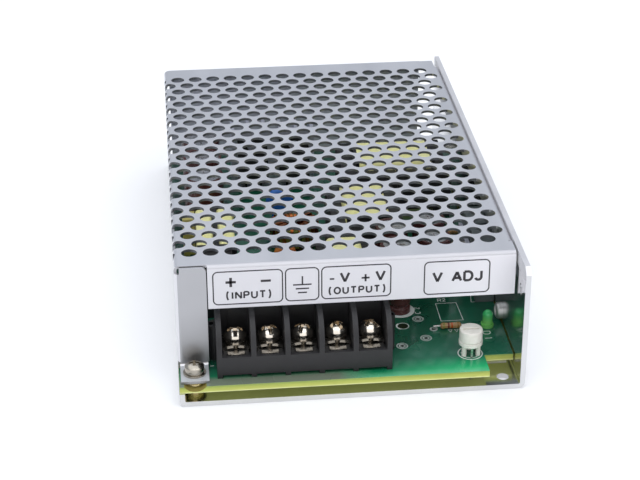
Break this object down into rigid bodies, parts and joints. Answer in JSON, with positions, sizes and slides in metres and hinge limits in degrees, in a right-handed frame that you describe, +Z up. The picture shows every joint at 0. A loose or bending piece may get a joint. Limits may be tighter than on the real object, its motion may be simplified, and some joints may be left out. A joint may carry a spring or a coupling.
{
  "type": "dc-dc converter",
  "caption": "Enclosed DC-DC converter: bent sheet chassis and perforated cover round a circuit board, with a front row of screw clamp terminals, trimmer and lamp.",
  "frame": {"origin": "middle of the underside of the chassis", "axes": "+Y from the terminals to the rear, +X to the tall right wall, +Z up"},
  "size_m": [0.097, 0.159, 0.038],
  "materials": {
    "sheet_steel": "satin zinc-plated sheet",
    "zinc_steel": "bright plated steel",
    "insulating_film": "smooth translucent film",
    "board_green": "gloss solder mask over glass fibre",
    "terminal_black": "fine matt moulding",
    "contact_metal": "tinned contact metal",
    "trimmer_white": "smooth moulding",
    "led_green": "tinted clear resin",
    "lead_tin": "tinned wire",
    "resistor_body": "lacquered with colour bands",
    "ferrite": "ground ferrite",
    "bobbin_black": "moulded",
    "tape_yellow": "polyester tape",
    "copper_wire": "enamelled copper",
    "ring_core": "coated powder core",
    "film_yellow": "moulded box",
    "sleeve_brown": "shrink sleeve with bright aluminium top",
    "disc_blue": "dipped epoxy",
    "dipped_orange": "dipped epoxy",
    "package_black": "moulded package",
    "silicone_grey": "matt silicone",
    "sink_aluminium": "plain extrusion"
  },
  "bodies": {
    "case": {"chassis": "sheet_steel", "cover": "sheet_steel", "insulating_sheet": "insulating_film", "standoffs": "zinc_steel", "clinch_nuts": "zinc_steel", "foot_screw": "zinc_steel", "spring_washer": "zinc_steel", "flat_washer": "zinc_steel", "board": "board_green", "board_screws": "zinc_steel", "cover_screws": "zinc_steel", "terminal_housing": "terminal_black", "terminal_plates": "contact_metal", "trimmer_base": "trimmer_white", "trimmer_pins": "lead_tin", "led": "led_green", "led_leads": "lead_tin", "resistor": "resistor_body", "resistor_leads": "lead_tin", "transformer_core": "ferrite", "transformer_bobbin": "bobbin_black", "transformer_winding": "tape_yellow", "output_choke_core": "ferrite", "output_choke_bobbin": "bobbin_black", "output_choke_winding": "tape_yellow", "filter_choke_core": "ferrite", "filter_choke_bobbin": "bobbin_black", "filter_choke_winding": "tape_yellow", "input_choke_core": "ferrite", "input_choke_bobbin": "bobbin_black", "input_choke_winding": "tape_yellow", "ring_core": "ring_core", "ring_winding": "copper_wire", "film_capacitor": "film_yellow", "input_capacitors": "sleeve_brown", "front_capacitor": "sleeve_brown", "output_capacitors": "sleeve_brown", "disc_capacitors": "disc_blue", "dipped_capacitors": "dipped_orange", "power_devices": "package_black", "silicone_caps": "silicone_grey", "clamp_bar": "zinc_steel", "clamp_screw": "zinc_steel", "heat_sink": "sink_aluminium", "sink_devices": "package_black", "control_chips": "package_black", "fuse": "resistor_body", "small_resistors": "resistor_body"},
    "trimmer_knob": {"trimmer_knob": "trimmer_white"},
    "clamp_1": {"clamp_plate_1": "contact_metal"},
    "screw_1": {"terminal_screw_1": "zinc_steel"},
    "clamp_2": {"clamp_plate_2": "contact_metal"},
    "screw_2": {"terminal_screw_2": "zinc_steel"},
    "clamp_3": {"clamp_plate_3": "contact_metal"},
    "screw_3": {"terminal_screw_3": "zinc_steel"},
    "clamp_4": {"clamp_plate_4": "contact_metal"},
    "screw_4": {"terminal_screw_4": "zinc_steel"},
    "clamp_5": {"clamp_plate_5": "contact_metal"},
    "screw_5": {"terminal_screw_5": "zinc_steel"}
  },
  "joints": [
    {"name": "trimmer_turn", "type": "hinge", "parent": "case", "child": "trimmer_knob", "pos_m": [0.0345, -0.0691, 0.012], "axis": [0, 0, 1], "range_deg": [-120, 120]},
    {"name": "clamp_1_lift", "type": "slide", "parent": "case", "child": "clamp_1", "axis": [0, 0, 1], "range_m": [0, 0.003]},
    {"name": "screw_1_turn", "type": "hinge", "parent": "clamp_1", "child": "screw_1", "pos_m": [-0.0322, -0.0671, 0.014], "axis": [0, 0, 1], "range_deg": [0, 1801]},
    {"name": "clamp_2_lift", "type": "slide", "parent": "case", "child": "clamp_2", "axis": [0, 0, 1], "range_m": [0, 0.003]},
    {"name": "screw_2_turn", "type": "hinge", "parent": "clamp_2", "child": "screw_2", "pos_m": [-0.0227, -0.0671, 0.014], "axis": [0, 0, 1], "range_deg": [0, 1801]},
    {"name": "clamp_3_lift", "type": "slide", "parent": "case", "child": "clamp_3", "axis": [0, 0, 1], "range_m": [0, 0.003]},
    {"name": "screw_3_turn", "type": "hinge", "parent": "clamp_3", "child": "screw_3", "pos_m": [-0.0132, -0.0671, 0.014], "axis": [0, 0, 1], "range_deg": [0, 1801]},
    {"name": "clamp_4_lift", "type": "slide", "parent": "case", "child": "clamp_4", "axis": [0, 0, 1], "range_m": [0, 0.003]},
    {"name": "screw_4_turn", "type": "hinge", "parent": "clamp_4", "child": "screw_4", "pos_m": [-0.0037, -0.0671, 0.014], "axis": [0, 0, 1], "range_deg": [0, 1801]},
    {"name": "clamp_5_lift", "type": "slide", "parent": "case", "child": "clamp_5", "axis": [0, 0, 1], "range_m": [0, 0.003]},
    {"name": "screw_5_turn", "type": "hinge", "parent": "clamp_5", "child": "screw_5", "pos_m": [0.0058, -0.0671, 0.014], "axis": [0, 0, 1], "range_deg": [0, 1801]}
  ],
  "couplings": [
    {"joint": "screw_1_turn", "follows": "clamp_1_lift", "rad_per_m": 10472},
    {"joint": "screw_2_turn", "follows": "clamp_2_lift", "rad_per_m": 10472},
    {"joint": "screw_3_turn", "follows": "clamp_3_lift", "rad_per_m": 10472},
    {"joint": "screw_4_turn", "follows": "clamp_4_lift", "rad_per_m": 10472},
    {"joint": "screw_5_turn", "follows": "clamp_5_lift", "rad_per_m": 10472}
  ]
}
